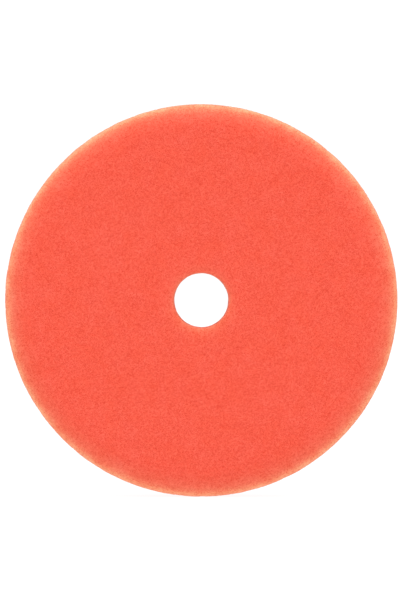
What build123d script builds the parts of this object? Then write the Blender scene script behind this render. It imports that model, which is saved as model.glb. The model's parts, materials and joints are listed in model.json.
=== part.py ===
"""Round foam polishing pad for a hook-and-loop backing plate.

Row frame, millimetres. The pad spins about Y, like a wheel, and +Z is up. The origin is the centre of the
mating plane at the tips of the pile, where the backing plate grips. The pad lies on the -Y side of that plane,
so its working face looks towards -Y.

The pad is a laminate of four layers, each one solid of revolution about Y:
  foam_disc       open-cell polyurethane foam, the layer that polishes
  adhesive_film   hot-melt film that bonds the foam to the textile
  ground_fabric   knitted ground of the loop textile
  loop_pile       brushed loops that stand on the ground fabric, as the layer of space that they fill
"""

import os
from math import cos, radians, sin, tan

from build123d import *

# Driving dimensions
PAD_DIAMETER = 160.0  # at the widest circle, just behind the working face
PAD_THICKNESS = 25.0  # from the working face to the tips of the pile
BORE_DIAMETER = 22.2  # 7/8 inch hole, straight through every layer
EASE_RADIUS = 15.0  # gentle arc that starts the shoulder, where the working face ends
EASE_ANGLE = 40.0  # degrees that the gentle arc turns before the tighter one takes over
RIM_RADIUS = 5.0  # tighter arc round the widest circle
SIDE_TAPER = 15.0  # degrees that the side leans in towards the textile
LIP_EASE_RADIUS = 10.0  # gentle arc that starts the bore's lip, where the working face ends
LIP_EASE_ANGLE = 20.0  # degrees that it turns
LIP_RADIUS = 1.5  # tighter arc from there into the bore

LOOP_DIAMETER = 150.0  # textile disc, made for a 150 mm backing plate
PILE_HEIGHT = 1.8
GROUND_THICKNESS = 0.6
FILM_THICKNESS = 0.3

# Planes across the spin axis, from the mating plane forwards
PILE_ROOT_Y = -PILE_HEIGHT
GROUND_FRONT_Y = PILE_ROOT_Y - GROUND_THICKNESS
FOAM_BACK_Y = GROUND_FRONT_Y - FILM_THICKNESS
FACE_Y = -PAD_THICKNESS

BORE_RADIUS = BORE_DIAMETER / 2
PAD_RADIUS = PAD_DIAMETER / 2


def turned(outline):
    """The solid that a closed outline sweeps about the spin axis."""
    return revolve(make_face(outline), axis=Axis.Y)


def flat_ring(outer_radius, front_y, back_y):
    """A flat ring with the pad's bore."""
    corners = [
        (BORE_RADIUS, front_y),
        (outer_radius, front_y),
        (outer_radius, back_y),
        (BORE_RADIUS, back_y),
    ]
    return turned(Polyline(*corners, close=True))


def soft_edge_centres(side, tight_x, tight_radius, ease_radius, ease_angle):
    """Centres of the gentle and the tight arc, tangent to each other, that round an edge of the working face.

    side is 1 where the face ends outwards, and -1 where it ends at the bore.
    """
    to_joint = Vector(side * sin(radians(ease_angle)), -cos(radians(ease_angle)))
    offset = (ease_radius - tight_radius) * to_joint
    tight_centre = Vector(tight_x, FACE_Y + ease_radius + offset.Y)
    return tight_centre - offset, tight_centre


def foam_disc():
    """The foam: a flat face, a rounded shoulder, a side that tapers in, and a bore with a soft lip."""
    ease_centre, rim_centre = soft_edge_centres(1, PAD_RADIUS - RIM_RADIUS, RIM_RADIUS, EASE_RADIUS, EASE_ANGLE)
    lip_ease_centre, lip_centre = soft_edge_centres(
        -1, BORE_RADIUS + LIP_RADIUS, LIP_RADIUS, LIP_EASE_RADIUS, LIP_EASE_ANGLE
    )
    taper = radians(SIDE_TAPER)
    side_front = rim_centre + RIM_RADIUS * Vector(cos(taper), sin(taper))
    side_back = Vector(side_front.X - (FOAM_BACK_Y - side_front.Y) * tan(taper), FOAM_BACK_Y)
    outline = [
        Line((lip_ease_centre.X, FACE_Y), (ease_centre.X, FACE_Y)),
        CenterArc(ease_centre, EASE_RADIUS, -90, EASE_ANGLE),
        CenterArc(rim_centre, RIM_RADIUS, EASE_ANGLE - 90, 90 - EASE_ANGLE + SIDE_TAPER),
        Line(side_front, side_back),
        Line(side_back, (BORE_RADIUS, FOAM_BACK_Y)),
        Line((BORE_RADIUS, FOAM_BACK_Y), (BORE_RADIUS, lip_centre.Y)),
        CenterArc(lip_centre, LIP_RADIUS, 180, 90 - LIP_EASE_ANGLE),
        CenterArc(lip_ease_centre, LIP_EASE_RADIUS, 270 - LIP_EASE_ANGLE, LIP_EASE_ANGLE),
    ]
    return turned(outline)


LAYERS = {
    "foam_disc": foam_disc(),
    "adhesive_film": flat_ring(LOOP_DIAMETER / 2, FOAM_BACK_Y, GROUND_FRONT_Y),
    "ground_fabric": flat_ring(LOOP_DIAMETER / 2, GROUND_FRONT_Y, PILE_ROOT_Y),
    "loop_pile": flat_ring(LOOP_DIAMETER / 2, PILE_ROOT_Y, 0),
}

os.makedirs("parts", exist_ok=True)
for node, solid in LAYERS.items():
    export_step(solid, f"parts/{node}.step")
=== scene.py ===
import json
from math import cos, pi, radians, sin, sqrt, tan

import bpy
import numpy as np
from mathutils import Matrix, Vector, noise


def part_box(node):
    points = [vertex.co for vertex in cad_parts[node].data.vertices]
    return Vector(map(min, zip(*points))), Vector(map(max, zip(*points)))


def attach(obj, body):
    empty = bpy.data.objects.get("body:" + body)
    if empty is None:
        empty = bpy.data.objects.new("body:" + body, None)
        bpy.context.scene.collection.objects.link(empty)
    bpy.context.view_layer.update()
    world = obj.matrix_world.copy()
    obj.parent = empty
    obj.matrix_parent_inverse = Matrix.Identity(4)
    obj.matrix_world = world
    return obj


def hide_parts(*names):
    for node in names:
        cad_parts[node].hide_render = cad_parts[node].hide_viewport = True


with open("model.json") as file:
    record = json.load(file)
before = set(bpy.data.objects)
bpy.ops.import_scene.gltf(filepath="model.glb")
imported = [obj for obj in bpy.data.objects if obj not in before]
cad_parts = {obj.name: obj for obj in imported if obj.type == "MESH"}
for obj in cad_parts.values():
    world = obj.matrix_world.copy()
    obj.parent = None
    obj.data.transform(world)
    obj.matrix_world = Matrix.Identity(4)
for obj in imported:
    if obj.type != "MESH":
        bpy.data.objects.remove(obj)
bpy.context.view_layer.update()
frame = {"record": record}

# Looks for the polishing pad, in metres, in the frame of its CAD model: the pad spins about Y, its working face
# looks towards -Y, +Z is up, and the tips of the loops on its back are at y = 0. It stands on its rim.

MM = 0.001
CLOSE = 1e-6  # places nearer than this count as the same
NOISE_RANGE = (0.3, 0.7)  # where most of a noise texture's values lie

# Places from the frame
FOAM_LOW, FOAM_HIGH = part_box("foam_disc")
FILM_LOW, FILM_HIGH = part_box("adhesive_film")
GROUND_LOW, GROUND_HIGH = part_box("ground_fabric")
PILE_LOW, PILE_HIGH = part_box("loop_pile")
MOUNTS = {mount["name"]: mount for mount in frame["record"]["mounts"]}
BORE_RADIUS = MOUNTS["centre_hole"]["dims"]["r_mm"] * MM
PAD_RADIUS = max(FOAM_HIGH.x, FOAM_HIGH.z)
LOOP_RADIUS = max(PILE_HIGH.x, PILE_HIGH.z)
FACE_Y = FOAM_LOW.y
FLOOR_Z = FOAM_LOW.z

# The foam's outline, as in the CAD model. Angles are in degrees.
EASE_RADIUS = 15 * MM
EASE_ANGLE = 40
RIM_RADIUS = 5 * MM
SIDE_TAPER = 15
LIP_EASE_RADIUS = 10 * MM
LIP_EASE_ANGLE = 20
LIP_RADIUS = 1.5 * MM
OUTLINE_STEP = 0.1 * MM  # between the points of an outline
LEAST_ARC_STEPS = 8

# Turned meshes
HIDDEN_EDGE = 4 * MM  # mesh edge where another layer covers a surface
EDGE_GROWTH = 0.35  # how much the mesh edge grows with each unit of distance from what shows
LEAST_RING_VERTICES = 12
RING_TURN = 0.382  # share of a mesh edge that each ring is turned against the one before, kept under a half
TRIANGLE_HEIGHT = sqrt(0.75)  # of a triangle with three edges of 1

# Foam surface
FOAM_EDGE = 0.38 * MM  # mesh edge where the foam shows
PORE_SPACING = 1.05 * MM
PORE_RADIUS = 0.62  # as a share of the spacing
PORE_DEPTH = 0.15 * MM
UNDULATION = 0.12 * MM  # unevenness of the cut
UNDULATION_LENGTH = 6 * MM
UNDULATION_SINK = 0.5  # share of UNDULATION that the cut lies inside the outline, so its crests just reach it
CELL = 0.36 * MM  # the finest cells, drawn by the material
CELL_WALL = 0.3  # how far a cell's wall slopes down to its middle, as a share of CELL
CELL_CHANCES = (0.2, 0.8)  # random values that make the shallowest and the deepest cells
SHALLOWEST_CELL = 0.2  # depth of the shallowest cell, as a share of the deepest
CELL_BUMP = 0.12 * MM  # depth of the deepest cells
MOTTLE = 7 * MM  # size of the patches of colour

FOAM_STRUT = (0.90, 0.133, 0.086, 1)
# The paler, more orange colour of the shoulder and the lip: partly wear, partly painted light on their rounded
# edges
WORN_AND_LIT_STRUT = (1.0, 0.49, 0.27, 1)
# Painted sheen: the paler colour that the foam takes where it is seen edge-on
PAINTED_SHEEN_STRUT = (1.0, 0.50, 0.34, 1)
GLANCE = (0.35, 0.95)  # how edge-on the foam is where its colour starts to turn to the painted sheen, and where the turn ends
GLANCE_MOST = 0.5  # share of the painted sheen there
PIT_SHADE = (0.79, 0.20, 0.10, 1)  # painted shade: share of the strut's colour that is left at the bottom of a deep cell
PORE_SHADE = (0.96, 0.78, 0.76, 1)  # painted shade: share of the strut's colour that is left in the middle of a pore
MOTTLE_SHADE = (0.99, 0.90, 0.80, 1)  # share of the strut's colour that is left in the deepest patches of the random mottle
FOAM_SHEEN = (1.0, 0.7, 0.6, 1)

# Wear of the shoulder, and painted light on its rounded edge, by slope, which is 0 where the foam faces forwards
# and 1 where it faces sideways
SHOULDER_WEAR_AND_LIGHT = {0.0: 0, 0.02: 0.02, 0.134: 0.16, 0.2: 0.38, 0.26: 0.62, 0.5: 0.86, 1.0: 0.22}
WEAR_AND_LIGHT_PATCHES = 0.3  # how much the wear and painted light differ from patch to patch
LIP_WEAR_AND_LIGHT = 0.115  # wear and painted light at the bore's lip, which fade outwards over the face
LOWER_LIP_PAINTED_LIGHT = 1.75  # how much more of it the lowest side of the lip has, as a share: painted light, as that side faces up towards the light
LIP_FADE = 2.2 * MM
STEEP_LIP_WEAR_AND_LIGHT = 0.75  # more wear and painted light, by slope, where the lip turns into the bore
BORE_WEAR_AND_LIGHT = 0.25  # and the most of it, which the whole bore has

# Hot-melt film and knitted ground
CUT_EDGE = 0.3 * MM  # mesh edge at their cut edges
TEXTILE_BUMP = 0.1 * MM  # depth of their fine unevenness

# Hot-melt film
FILM_DARK = (0.80, 0.76, 0.66, 1)
FILM_PALE = (0.90, 0.88, 0.82, 1)
FILM_CLOUD = 2.5 * MM
FILM_FRAY = 0.3 * MM  # how far its edges wander
FILM_FRAY_LENGTH = 3 * MM

# Knitted ground
GROUND_EDGE = 0.5 * MM  # mesh edge where the knit shows
GROUND_FRAY = 0.15 * MM
GROUND_FRAY_LENGTH = 1.5 * MM
WALE = 1.5 * MM  # distance between the knit's columns of stitches
COURSE = 1.2 * MM  # and between its rows
ZIGZAG = 0.18  # how far a column swings to each side, as a share of WALE
ROW_SHARE = 0.45  # share of the relief that comes from the rows
KNIT_RELIEF = 0.22 * MM
KNIT_GRAIN = 0.4 * MM
# Painted shade: the knit is darker between its stitches, where the relief is low
KNIT_LOW = (0.88, 0.87, 0.84, 1)
KNIT_HIGH = (1.0, 0.99, 0.97, 1)
KNIT_SPECK = (0.92, 0.91, 0.88, 1)
KNIT_SPECK_MOST = 0.3  # largest share of KNIT_SPECK

# Loops
LOOP_PITCH = 0.48 * MM  # along a wale
LOOP_WANDER = 0.22  # how far a loop stands off its wale, as a share of WALE
LOOP_WIDTH = 1.05 * MM
LOOP_WIDTHS = (0.7, 1.1)  # narrowest and widest, as shares of LOOP_WIDTH
LOOP_HEIGHTS = (0.6, 0.95)  # lowest and highest, as shares of the pile's height
LOOP_LEANS = (0.3, 0.35)  # mean and spread, as shares of the loop's height
LOOP_HEADING_SPREAD = 0.8  # radians
LOOP_ROUNDNESS = 0.8  # under 1 for a loop with a broader top than a sine wave
ROOT_DEPTH = 0.6 * KNIT_RELIEF  # how deep a loop's ends stand in the ground
YARN_RADIUS = 0.11 * MM
LOOP_SEGMENTS = 5
YARN_SIDES = 3  # so one triangle closes each end
LOOP_SECTORS = 4  # pieces that the pile is split into
LOOP_SEED = 7
YARN_DARK = (0.95, 0.94, 0.91, 1)
YARN_PALE = (1.0, 0.99, 0.97, 1)
YARN_PATCH = 5 * MM

# Places on the bake map: centre and radius of a wide disc and of the two discs that fit beside it
WIDE_DISC = (0.45, 0.45, 0.44)
CORNER_DISC = (0.86, 0.86, 0.125)
SMALL_DISC = (0.89, 0.11, 0.10)
DISCS = (WIDE_DISC, CORNER_DISC, SMALL_DISC)
LOOP_MAP_WIDTH = 2.1 * LOOP_RADIUS  # width of the loop disc's map, with a margin

# Studio
SKY = 0.20  # light from every side
SKY_FRONT_AND_BACK = 0.86  # more from the front and from behind
SKY_TOP = 2.42  # and from above, and as much from below, which the floor hides
FLOOR_RADIUS = 6
FLOOR_TONE = (0.95, 0.95, 0.95, 1)
FLOOR_GLOW = 0.88  # share of the floor that a shadow can't darken
WHITE = 1.05  # as the camera sees the floor's glow and the sky
WHITE_TONE = (1, 1, 1, 1)
FLOOR_BOUNCE = 1.142  # as the pad sees the floor's glow
PHOTO_SHARE = 0.9794  # of the picture's width that the pad fills
CAMERA_DISTANCE = 1.2
CAMERA_ELEVATION = 0.55  # degrees above the pad's axis
CAMERA_ASIDE = -0.34 * MM  # to the left of the pad's axis
PICTURE_WIDTH, PICTURE_HEIGHT = 401, 601


# ---------------------------------------------------------------- outlines, as arrays of (radius, y)

def straight(start, end):
    """Points along a line, close together, without its end."""
    start, end = np.array(start), np.array(end)
    steps = max(1, int(np.hypot(*(end - start)) / OUTLINE_STEP))
    return start + (end - start) * (np.arange(steps) / steps)[:, None]


def arc(centre, radius, start, end):
    """Points along an arc, close together, without its end. Angles are in degrees."""
    steps = max(LEAST_ARC_STEPS, int(abs(radians(end - start)) * radius / OUTLINE_STEP))
    angles = np.radians(start + (end - start) * np.arange(steps) / steps)
    return np.array(centre) + radius * np.column_stack([np.cos(angles), np.sin(angles)])


def soft_edge_centres(side, tight_x, tight_radius, ease_radius, ease_angle):
    """Centres of the gentle and the tight arc, tangent to each other, that round an edge of the working face.

    side is 1 where the face ends outwards, and -1 where it ends at the bore.
    """
    to_joint = np.array([side * sin(radians(ease_angle)), -cos(radians(ease_angle))])
    offset = (ease_radius - tight_radius) * to_joint
    tight_centre = np.array([tight_x, FACE_Y + ease_radius + offset[1]])
    return tight_centre - offset, tight_centre


EASE_CENTRE, RIM_CENTRE = soft_edge_centres(
    1, PAD_RADIUS - RIM_RADIUS, RIM_RADIUS, EASE_RADIUS, EASE_ANGLE
)
LIP_EASE_CENTRE, LIP_CENTRE = soft_edge_centres(
    -1, BORE_RADIUS + LIP_RADIUS, LIP_RADIUS, LIP_EASE_RADIUS, LIP_EASE_ANGLE
)


def foam_outline():
    """The foam's closed outline: over the lip, the face and the side, then along the back and the bore."""
    taper = radians(SIDE_TAPER)
    side_front = RIM_CENTRE + RIM_RADIUS * np.array([cos(taper), sin(taper)])
    side_back = (side_front[0] - (FOAM_HIGH.y - side_front[1]) * tan(taper), FOAM_HIGH.y)
    return np.vstack([
        arc(LIP_CENTRE, LIP_RADIUS, 180, 270 - LIP_EASE_ANGLE),
        arc(LIP_EASE_CENTRE, LIP_EASE_RADIUS, 270 - LIP_EASE_ANGLE, 270),
        straight((LIP_EASE_CENTRE[0], FACE_Y), (EASE_CENTRE[0], FACE_Y)),
        arc(EASE_CENTRE, EASE_RADIUS, -90, EASE_ANGLE - 90),
        arc(RIM_CENTRE, RIM_RADIUS, EASE_ANGLE - 90, SIDE_TAPER),
        straight(side_front, side_back),
        straight(side_back, (BORE_RADIUS, FOAM_HIGH.y)),
        straight((BORE_RADIUS, FOAM_HIGH.y), (BORE_RADIUS, LIP_CENTRE[1])),
    ])


def ring_outline(low, high):
    """The closed outline of a flat ring between two corners of its box, with the pad's bore."""
    outer = max(high.x, high.z)
    corners = [(BORE_RADIUS, low.y), (outer, low.y), (outer, high.y), (BORE_RADIUS, high.y)]
    return np.vstack([straight(a, b) for a, b in zip(corners, corners[1:] + corners[:1])])


# ---------------------------------------------------------------- meshes

def axis_distance(points):
    """How far each point is from the spin axis."""
    return np.hypot(points[:, 0], points[:, 2])


class Turned:
    """A mesh turned about Y from a closed outline, with triangles close to equilateral.

    Its vertices lie in rings about Y. counts has each ring's number of vertices, firsts its first vertex, outline
    its (radius, y) and steps the distance to the next ring. ring_of and angles have each vertex's ring and angle.
    """

    def __init__(self, outline, edge_length):
        """edge_length gives the mesh edge wanted at each point of an outline."""
        closed = np.vstack([outline, outline[:1]])
        steps = np.hypot(*np.diff(closed, axis=0).T)
        edges = edge_length(outline)
        travelled = np.concatenate([[0], np.cumsum(steps / (edges * TRIANGLE_HEIGHT))])
        ring_count = int(round(travelled[-1]))
        at = np.arange(ring_count) * travelled[-1] / ring_count
        rings = np.column_stack([np.interp(at, travelled, closed[:, i]) for i in (0, 1)])
        ring_edges = np.interp(at, travelled[:-1], edges)
        self.counts = np.maximum(LEAST_RING_VERTICES, np.round(2 * pi * rings[:, 0] / ring_edges)).astype(int)
        self.firsts = np.concatenate([[0], np.cumsum(self.counts)])
        phases = (np.arange(ring_count) * RING_TURN) % 0.5
        self.angles = np.concatenate([
            2 * pi * (np.arange(count) + phase) / count for count, phase in zip(self.counts, phases)
        ])
        self.ring_of = np.repeat(np.arange(ring_count), self.counts)
        along = np.roll(rings, -1, axis=0) - np.roll(rings, 1, axis=0)
        outwards = np.column_stack([along[:, 1], -along[:, 0]])
        outwards /= np.hypot(*outwards.T)[:, None]
        self.outline = rings
        self.steps = np.hypot(*(np.roll(rings, -1, axis=0) - rings).T)
        self.points = self.placed(rings[self.ring_of])
        self.normals = self.placed(outwards[self.ring_of])
        self.triangles = self.stitched()

    def placed(self, radius_and_y):
        """(x, y, z) for each vertex from its (radius, y)."""
        radius, y = radius_and_y.T
        return np.column_stack([radius * np.cos(self.angles), y, radius * np.sin(self.angles)])

    def stitched(self):
        """Triangles between neighbouring rings.

        Each joins an edge of one ring to the vertex of the other ring that is nearest to the edge's middle.
        """
        triangles = []
        for ring in range(len(self.counts)):
            other = (ring + 1) % len(self.counts)
            here, there = [self.ring_middles(i) for i in (ring, other)]
            n, m = self.counts[ring], self.counts[other]
            start, far_start = self.firsts[ring], self.firsts[other]
            k, j = np.arange(n), np.arange(m)
            nearest = np.searchsorted(there, here) % m
            triangles.append(np.column_stack([start + (k + 1) % n, start + k, far_start + nearest]))
            nearest = np.searchsorted(here, there, side="right") % n
            triangles.append(np.column_stack([far_start + j, far_start + (j + 1) % m, start + nearest]))
        return np.vstack(triangles)

    def ring_middles(self, ring):
        """The angle of the middle of each edge of a ring."""
        first, count = self.firsts[ring], self.counts[ring]
        return self.angles[first:first + count] + pi / count


def mesh_object(name, points, triangles):
    """A smooth-shaded object from arrays of points and triangles."""
    mesh = bpy.data.meshes.new(name)
    mesh.vertices.add(len(points))
    mesh.vertices.foreach_set("co", np.asarray(points, np.float32).ravel())
    mesh.loops.add(triangles.size)
    mesh.loops.foreach_set("vertex_index", triangles.astype(np.int32).ravel())
    mesh.polygons.add(len(triangles))
    mesh.polygons.foreach_set("loop_start", np.arange(len(triangles), dtype=np.int32) * 3)
    mesh.polygons.foreach_set("use_smooth", np.ones(len(triangles), bool))
    mesh.update()
    mesh.validate()
    piece = bpy.data.objects.new(name, mesh)
    bpy.context.scene.collection.objects.link(piece)
    return piece


def set_map(piece, uv):
    """Sets the map that the looks are baked on. uv is (u, v) for each corner of each triangle."""
    layer = piece.data.uv_layers.new(name="OFBake")
    layer.data.foreach_set("uv", np.asarray(uv, np.float32).ravel())


def map_turned(piece, turned, island_of_ring):
    """Unrolls a turned mesh onto DISCS, one for each island of its outline, which keep lengths along the outline.

    island_of_ring gives each ring's number in DISCS, and each stretch of rings with one number is an island.
    """
    rings = len(turned.outline)
    along = np.concatenate([[0], np.cumsum(turned.steps)])
    corner_rings = turned.ring_of[turned.triangles]
    closing = corner_rings.max(axis=1) - corner_rings.min(axis=1) > 1
    corner_rings = np.where(closing[:, None] & (corner_rings == 0), rings, corner_rings)
    islands = island_of_ring[corner_rings.min(axis=1)]
    angles = turned.angles[turned.triangles]
    uv = np.zeros(turned.triangles.shape + (2,))
    for island, (u, v, size) in enumerate(DISCS):
        members = np.flatnonzero(island_of_ring == island)
        first, last = members[0], members[-1]
        outward = turned.outline[last, 0] >= turned.outline[first, 0]
        inner = first if outward else last
        away = (along - along[inner]) * (1 if outward else -1)
        reach = turned.outline[inner, 0] + away
        reach *= size / max(reach[first], reach[last])
        chosen = islands == island
        spread = reach[corner_rings[chosen]]
        uv[chosen, :, 0] = u + spread * np.cos(angles[chosen])
        uv[chosen, :, 1] = v + spread * np.sin(angles[chosen])
    set_map(piece, uv)


def set_attribute(piece, name, values):
    """Gives each vertex a value for the material to read."""
    piece.data.attributes.new(name, "FLOAT", "POINT").data.foreach_set("value", values.astype(np.float32))


def finish_piece(piece, material, node):
    """Gives a piece its material and body, and hides the CAD node that it stands for."""
    piece.data.materials.append(material)
    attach(piece, "root")
    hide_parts(node)


# ---------------------------------------------------------------- materials

class Nodes:
    """The node tree of a material or a world, emptied, with short calls that add nodes to it."""

    def __init__(self, owner):
        owner.use_nodes = True
        self.owner = owner
        self.tree = owner.node_tree
        self.tree.nodes.clear()

    def add(self, kind, values=None, **settings):
        """A node of a kind. values maps inputs to a value or to the node or output that feeds them."""
        made = self.tree.nodes.new("ShaderNode" + kind)
        for name, value in settings.items():
            setattr(made, name, value)
        for name, value in (values or {}).items():
            socket = made.inputs[name]
            if isinstance(value, bpy.types.Node):
                value = value.outputs[0]
            if isinstance(value, bpy.types.NodeSocket):
                self.tree.links.new(value, socket)
            else:
                socket.default_value = value
        return made

    def place(self):
        """The place of a point in the piece's own space."""
        return self.add("TexCoord").outputs["Object"]

    def attribute(self, name):
        """A value that set_attribute gave each vertex."""
        return self.add("Attribute", attribute_name=name).outputs["Fac"]

    def clouds(self, length, detail, roughness=0.5):
        """Noise with patches of about this length."""
        values = {"Vector": self.place(), "Scale": 1 / length, "Detail": detail, "Roughness": roughness}
        return self.add("TexNoise", values)

    def math(self, operation, *values):
        """The result of an operation on its values."""
        return self.add("Math", dict(enumerate(values)), operation=operation)

    def mix(self, factor, a, b, blend="MIX"):
        """A colour between a and b. Inputs 6 and 7 and output 2 are the node's colours."""
        made = self.add("Mix", {0: factor, 6: a, 7: b}, data_type="RGBA", blend_type=blend)
        return made.outputs[2]

    def remap(self, value, low, high, to_low=0, to_high=1):
        """value moved from one range to another, kept inside it."""
        values = {"Value": value, "From Min": low, "From Max": high, "To Min": to_low, "To Max": to_high}
        return self.add("MapRange", values)

    def ramp(self, value, stops):
        """A value read off a curve through stops, which maps places to heights."""
        made = self.add("ValToRGB", {"Fac": value})
        points = made.color_ramp.elements
        while len(points) < len(stops):
            points.new(0.5)
        for point, (place, height) in zip(points, stops.items()):
            point.position = place
            point.color = (height, height, height, 1)
        return made

    def finished(self, values):
        """Joins a Principled surface with these values to the output and returns the material."""
        surface = self.add("BsdfPrincipled", values)
        self.add("OutputMaterial", {"Surface": surface})
        return self.owner


def foam_material():
    """Coral foam: fine cells with dark middles of painted shade, paler and more orange on its shoulder, from wear
    and painted light, and at a glance, from a painted sheen.
    """
    nodes = Nodes(bpy.data.materials.new("open_cell_foam"))
    cells = {"Vector": nodes.place(), "Scale": 1 / CELL}
    to_wall = nodes.add("TexVoronoi", cells, feature="DISTANCE_TO_EDGE").outputs["Distance"]
    chance = nodes.add("TexVoronoi", cells).outputs["Color"]
    depth = nodes.remap(chance, *CELL_CHANCES, SHALLOWEST_CELL, 1)
    pit = nodes.math("MULTIPLY", nodes.remap(to_wall, 0, CELL_WALL), depth)
    mottle = nodes.clouds(MOTTLE, detail=3, roughness=0.6)
    # wear plus painted light on the shoulder and the lip, varied in patches
    wear_and_light = nodes.math("ADD", nodes.ramp(nodes.attribute("shoulder"), SHOULDER_WEAR_AND_LIGHT), nodes.attribute("lip"))
    wear_and_light = nodes.math("MULTIPLY", wear_and_light, nodes.remap(mottle, *NOISE_RANGE, 1 + WEAR_AND_LIGHT_PATCHES, 1 - WEAR_AND_LIGHT_PATCHES))
    tone = nodes.mix(wear_and_light, FOAM_STRUT, WORN_AND_LIT_STRUT)
    # painted sheen: paler where the foam is seen edge-on
    edge_on = nodes.add("LayerWeight", {"Blend": 0.5}).outputs["Facing"]
    tone = nodes.mix(nodes.remap(edge_on, *GLANCE, 0, GLANCE_MOST), tone, PAINTED_SHEEN_STRUT)
    # painted shade in the cells' middles and in the pores
    tone = nodes.mix(pit, tone, PIT_SHADE, "MULTIPLY")
    tone = nodes.mix(nodes.attribute("pore"), tone, PORE_SHADE, "MULTIPLY")
    tone = nodes.mix(nodes.remap(mottle, *NOISE_RANGE), tone, MOTTLE_SHADE, "MULTIPLY")
    bump = nodes.add("Bump", {"Height": pit, "Strength": 0.7, "Distance": CELL_BUMP}, invert=True)
    return nodes.finished({
        "Base Color": tone,
        "Roughness": 0.95,
        "Specular IOR Level": 0.2,
        "Sheen Weight": 0.1,
        "Sheen Roughness": 0.6,
        "Sheen Tint": FOAM_SHEEN,
        "Normal": bump,
    })


def film_material():
    """Milky glue, cloudier in places."""
    nodes = Nodes(bpy.data.materials.new("hot_melt_film"))
    cloud = nodes.clouds(FILM_CLOUD, detail=2)
    tone = nodes.mix(cloud, FILM_DARK, FILM_PALE)
    bump = nodes.add("Bump", {"Height": cloud, "Strength": 0.4, "Distance": TEXTILE_BUMP})
    return nodes.finished({"Base Color": tone, "Roughness": 0.45, "Specular IOR Level": 0.4, "Normal": bump})


def knit_material():
    """Matt knit, darker between its stitches with painted shade."""
    nodes = Nodes(bpy.data.materials.new("warp_knit"))
    grain = nodes.clouds(KNIT_GRAIN, detail=2)
    # painted shade where the relief is low, between the stitches
    tone = nodes.mix(nodes.attribute("relief"), KNIT_LOW, KNIT_HIGH)
    tone = nodes.mix(nodes.remap(grain, *NOISE_RANGE, 0, KNIT_SPECK_MOST), tone, KNIT_SPECK)
    bump = nodes.add("Bump", {"Height": grain, "Strength": 0.6, "Distance": TEXTILE_BUMP})
    return nodes.finished({"Base Color": tone, "Roughness": 0.9, "Specular IOR Level": 0.2, "Normal": bump})


def yarn_material():
    """Off-white nylon with a soft sheen, slightly creamier in patches."""
    nodes = Nodes(bpy.data.materials.new("nylon_loops"))
    tone = nodes.mix(nodes.clouds(YARN_PATCH, detail=4), YARN_DARK, YARN_PALE)
    return nodes.finished({"Base Color": tone, "Roughness": 0.6, "Specular IOR Level": 0.4, "Sheen Weight": 0.2})


# ---------------------------------------------------------------- foam

def foam_edge_length(outline):
    """Fine where the foam shows, coarse where the film covers its back."""
    radius, y = outline.T
    covered = np.where(y > FOAM_HIGH.y - CLOSE, LOOP_RADIUS - radius, 0)
    return np.clip(FOAM_EDGE + EDGE_GROWTH * np.minimum(covered, radius - BORE_RADIUS), FOAM_EDGE, HIDDEN_EDGE)


def pore(point):
    """How deep a pore is at a point, from 0 on a strut to 1 in its middle."""
    nearest = noise.voronoi(Vector(point) / PORE_SPACING)[0][0]
    return max(0.0, 1 - (nearest / PORE_RADIUS) ** 2)


def fading_lip_wear_and_light(points, normals):
    """Wear and painted light round the bore's lip where the foam faces forwards; they fade outwards and are
    stronger low down, where the lip faces up to the light.
    """
    radius = axis_distance(points)
    lowness = np.maximum(0, -points[:, 2] / radius)
    strength = LIP_WEAR_AND_LIGHT * (1 + LOWER_LIP_PAINTED_LIGHT * lowness)
    return strength * np.exp((BORE_RADIUS - radius) / LIP_FADE) * np.maximum(0, -normals[:, 1])


def make_foam():
    """The foam, with its pores, the waves of its cut, and the places of its wear and painted light."""
    turned = Turned(foam_outline(), foam_edge_length)
    points, normals = turned.points, turned.normals
    pores = np.array([pore(p) for p in points])
    waves = np.array([noise.noise(Vector(p) / UNDULATION_LENGTH) for p in points])
    covered = (points[:, 1] > FOAM_HIGH.y - CLOSE) & (axis_distance(points) < LOOP_RADIUS)
    height = np.where(covered, 0, UNDULATION * (waves - UNDULATION_SINK) - PORE_DEPTH * pores)
    points = points + normals * height[:, None]
    foam = mesh_object("foam_disc_pores", points, turned.triangles)
    set_attribute(foam, "pore", pores)
    in_hole = axis_distance(points) < LIP_EASE_CENTRE[0]
    slope = 1 + normals[:, 1]
    # the shoulder's slope, which sets its wear and painted light
    set_attribute(foam, "shoulder", np.where(in_hole, 0, slope))
    # wear and painted light on the lip and in the bore
    steep_wear_and_light = np.minimum(STEEP_LIP_WEAR_AND_LIGHT * np.where(in_hole, slope, 0), BORE_WEAR_AND_LIGHT)
    set_attribute(foam, "lip", steep_wear_and_light + fading_lip_wear_and_light(points, normals))
    radius, y = turned.outline.T
    in_bore = (radius < BORE_RADIUS + CLOSE) & (y > LIP_CENTRE[1])
    on_back = y > FOAM_HIGH.y - CLOSE
    map_turned(foam, turned, np.where(on_back, 1, np.where(in_bore, 2, 0)))
    finish_piece(foam, foam_material(), "foam_disc")


# ---------------------------------------------------------------- film and ground

def layer_edge_length(outline, face_y, face_edge):
    """Fine at a layer's cut edges, face_edge on the face at face_y, and coarse on the covered face."""
    radius, y = outline.T
    inside = np.minimum(LOOP_RADIUS - radius, radius - BORE_RADIUS)
    far = np.where(np.abs(y - face_y) < CLOSE, face_edge, HIDDEN_EDGE)
    return np.clip(CUT_EDGE + EDGE_GROWTH * np.maximum(inside, 0), CUT_EDGE, far)


def frayed(turned, amount, length):
    """The layer's points with its cut edges wandering in and out."""
    points = turned.points.copy()
    radius = axis_distance(points)
    at_edge = np.minimum(np.abs(LOOP_RADIUS - radius), np.abs(radius - BORE_RADIUS)) < CUT_EDGE / 2
    waves = np.array([noise.noise(Vector(p) / length) for p in points[at_edge]])
    points[at_edge] += turned.normals[at_edge] * [1, 0, 1] * (amount * waves)[:, None]
    return points


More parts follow.
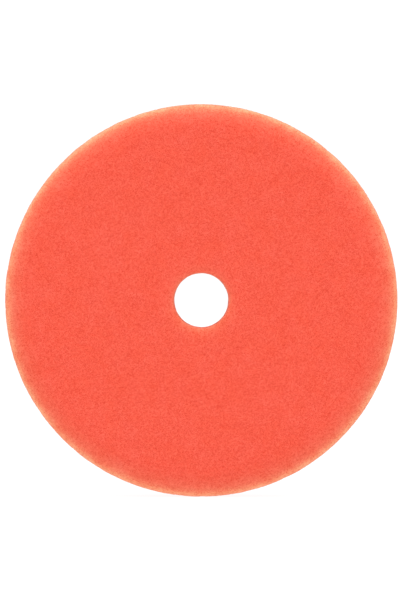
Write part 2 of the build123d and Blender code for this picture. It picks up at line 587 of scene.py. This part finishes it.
def map_layer(piece, turned, low, high):
    """Maps a flat layer: its back and outer edge on the wide disc, its front and its bore on the others."""
    radius, y = turned.outline.T
    on_front = (y < low.y + CLOSE) & (radius < LOOP_RADIUS - CLOSE)
    in_bore = (radius < BORE_RADIUS + CLOSE) & (y < high.y - CLOSE)
    map_turned(piece, turned, np.where(on_front, 1, np.where(in_bore, 2, 0)))


def make_film():
    """The film between the foam and the ground, covered on both faces."""
    outline = ring_outline(FILM_LOW, FILM_HIGH)
    turned = Turned(outline, lambda line: layer_edge_length(line, 0, HIDDEN_EDGE))
    film = mesh_object("hot_melt_film", frayed(turned, FILM_FRAY, FILM_FRAY_LENGTH), turned.triangles)
    map_layer(film, turned, FILM_LOW, FILM_HIGH)
    finish_piece(film, film_material(), "adhesive_film")


def stitch_height(points):
    """The knit's relief, from 0 between its stitches to 1 on top of them: a zigzag of wales."""
    x, z = points[:, 0], points[:, 2]
    zigzag = ZIGZAG * np.sin(2 * pi * z / COURSE)
    wale = np.abs(np.cos(pi * (x / WALE + zigzag)))
    course = 0.5 + 0.5 * np.cos(2 * pi * z / COURSE)
    return wale * (1 - ROW_SHARE + ROW_SHARE * course)


def make_ground():
    """The knitted ground, with its relief on the back, under the loops."""
    outline = ring_outline(GROUND_LOW, GROUND_HIGH)
    turned = Turned(outline, lambda line: layer_edge_length(line, GROUND_HIGH.y, GROUND_EDGE))
    points = frayed(turned, GROUND_FRAY, GROUND_FRAY_LENGTH)
    relief = stitch_height(points)
    on_back = turned.outline[turned.ring_of, 1] > GROUND_HIGH.y - CLOSE
    points[on_back, 1] += KNIT_RELIEF * (relief[on_back] - 1)
    ground = mesh_object("knitted_ground", points, turned.triangles)
    set_attribute(ground, "relief", relief)
    map_layer(ground, turned, GROUND_LOW, GROUND_HIGH)
    finish_piece(ground, knit_material(), "ground_fabric")


# ---------------------------------------------------------------- loops

def loop_lines(random):
    """The middle line of each loop's yarn, as (loop, point, xyz), and the direction that each loop faces."""
    columns = int(LOOP_RADIUS / WALE) + 1
    rows = int(LOOP_RADIUS / LOOP_PITCH) + 1
    column, row = np.meshgrid(np.arange(-columns, columns + 1), np.arange(-rows, rows + 1))
    x = (column.ravel() + random.normal(0, LOOP_WANDER, column.size)) * WALE
    z = (row.ravel() + random.uniform(-0.5, 0.5, row.size)) * LOOP_PITCH
    radius = np.hypot(x, z)
    kept = (radius < LOOP_RADIUS - LOOP_WIDTH / 2) & (radius > BORE_RADIUS + LOOP_WIDTH / 2)
    x, z = x[kept], z[kept]
    count = x.size
    heading = random.normal(0, LOOP_HEADING_SPREAD, count)
    height = (PILE_HIGH.y - PILE_LOW.y) * random.uniform(*LOOP_HEIGHTS, count)
    width = LOOP_WIDTH * random.uniform(*LOOP_WIDTHS, count)
    lean = random.normal(*LOOP_LEANS, count) * height
    across = np.column_stack([np.cos(heading), np.zeros(count), np.sin(heading)])
    forward = np.column_stack([-np.sin(heading), np.zeros(count), np.cos(heading)])
    root = np.column_stack([x, np.full(count, PILE_LOW.y - ROOT_DEPTH), z])
    turn = np.linspace(0, pi, LOOP_SEGMENTS + 1)
    rise = np.sin(turn) ** LOOP_ROUNDNESS
    line = root[:, None] + across[:, None] * (width[:, None] / 2 * np.cos(turn))[:, :, None]
    line += forward[:, None] * (lean[:, None] * rise ** 2)[:, :, None]
    line[:, :, 1] += (height[:, None] + ROOT_DEPTH) * rise
    return line, forward


def tubes(line, forward):
    """Tubes round lines, as (loop, point, xyz), and the triangles of one of them."""
    along = np.gradient(line, axis=1)
    along /= np.linalg.norm(along, axis=2, keepdims=True)
    side = np.cross(along, forward[:, None])
    side /= np.linalg.norm(side, axis=2, keepdims=True)
    other = np.cross(along, side)
    spin = 2 * pi * np.arange(YARN_SIDES) / YARN_SIDES
    offset = side[:, :, None] * np.cos(spin)[:, None] + other[:, :, None] * np.sin(spin)[:, None]
    points = (line[:, :, None] + YARN_RADIUS * offset).reshape(len(line), -1, 3)
    corner = np.arange(points.shape[1]).reshape(-1, YARN_SIDES)
    a, b = corner[:-1], corner[1:]
    a_next, b_next = np.roll(a, -1, axis=1), np.roll(b, -1, axis=1)
    lower = np.stack([a, a_next, b], axis=-1).reshape(-1, 3)
    upper = np.stack([a_next, b_next, b], axis=-1).reshape(-1, 3)
    ends = np.array([corner[0][::-1], corner[-1]])
    return points, np.concatenate([lower, upper, ends])


def make_loops():
    """The pile, in sectors. Each loop is a yarn that rises out of the ground and goes back into it."""
    line, forward = loop_lines(np.random.default_rng(LOOP_SEED))
    points, one = tubes(line, forward)
    middle = line.mean(axis=1)
    sector = np.floor((np.arctan2(middle[:, 2], middle[:, 0]) / (2 * pi) + 0.5) * LOOP_SECTORS)
    material = yarn_material()
    for number in range(LOOP_SECTORS):
        chosen = points[sector == number]
        starts = np.arange(len(chosen)) * points.shape[1]
        triangles = (one + starts[:, None, None]).reshape(-1, 3)
        chosen = chosen.reshape(-1, 3)
        loops = mesh_object(f"pile_loops_{number + 1}", chosen, triangles)
        set_map(loops, 0.5 + chosen[triangles][:, :, [0, 2]] / LOOP_MAP_WIDTH)
        finish_piece(loops, material, "loop_pile")


# ---------------------------------------------------------------- studio

def add_floor():
    """A pale floor that glows a little, so that a shadow on it stays faint."""
    nodes = Nodes(bpy.data.materials.new("pale_floor"))
    surface = nodes.add("BsdfDiffuse", {"Color": FLOOR_TONE})
    seen = nodes.add("LightPath").outputs["Is Camera Ray"]
    glow = nodes.add("Emission", {"Color": WHITE_TONE, "Strength": nodes.remap(seen, 0, 1, FLOOR_BOUNCE, WHITE)})
    blended = nodes.add("MixShader", {0: FLOOR_GLOW, 1: surface, 2: glow})
    nodes.add("OutputMaterial", {"Surface": blended})
    bpy.ops.mesh.primitive_circle_add(
        vertices=64, radius=FLOOR_RADIUS, fill_type="NGON", location=(0, 0, FLOOR_Z)
    )
    floor = bpy.context.object
    floor.name = "floor"
    floor.data.materials.append(nodes.owner)


def add_sky():
    """A white tent: soft light from all round, with more from above, the front and the back."""
    world = bpy.data.worlds.new("studio")
    bpy.context.scene.world = world
    nodes = Nodes(world)
    direction = nodes.add("SeparateXYZ", {"Vector": nodes.add("TexCoord").outputs["Generated"]})
    _, y, z = direction.outputs
    light = nodes.math("MULTIPLY_ADD", nodes.math("MULTIPLY", y, y), SKY_FRONT_AND_BACK, SKY)
    light = nodes.math("MULTIPLY_ADD", nodes.math("MULTIPLY", z, z), SKY_TOP, light)
    seen = nodes.add("LightPath").outputs["Is Camera Ray"]
    strength = nodes.remap(seen, 0, 1, light, WHITE)
    background = nodes.add("Background", {"Color": WHITE_TONE, "Strength": strength})
    nodes.add("OutputWorld", {"Surface": background})


def add_camera():
    """A camera in front of the pad, just above its axis."""
    camera = bpy.data.objects.new("camera", bpy.data.cameras.new("camera"))
    bpy.context.scene.collection.objects.link(camera)
    bpy.context.scene.camera = camera
    tilt = radians(CAMERA_ELEVATION)
    back = CAMERA_DISTANCE * cos(tilt)
    camera.location = (CAMERA_ASIDE, RIM_CENTRE[1] - back, CAMERA_DISTANCE * sin(tilt))
    camera.rotation_euler = (pi / 2 - tilt, 0, 0)
    picture_side = 2 * PAD_RADIUS / PHOTO_SHARE * PICTURE_HEIGHT / PICTURE_WIDTH
    camera.data.lens = camera.data.sensor_width * CAMERA_DISTANCE / picture_side
    camera.data.clip_start = 0.05
    camera.data.clip_end = 100


make_foam()
make_film()
make_ground()
make_loops()
add_floor()
add_sky()
add_camera()
bpy.context.scene.view_settings.view_transform = "Standard"
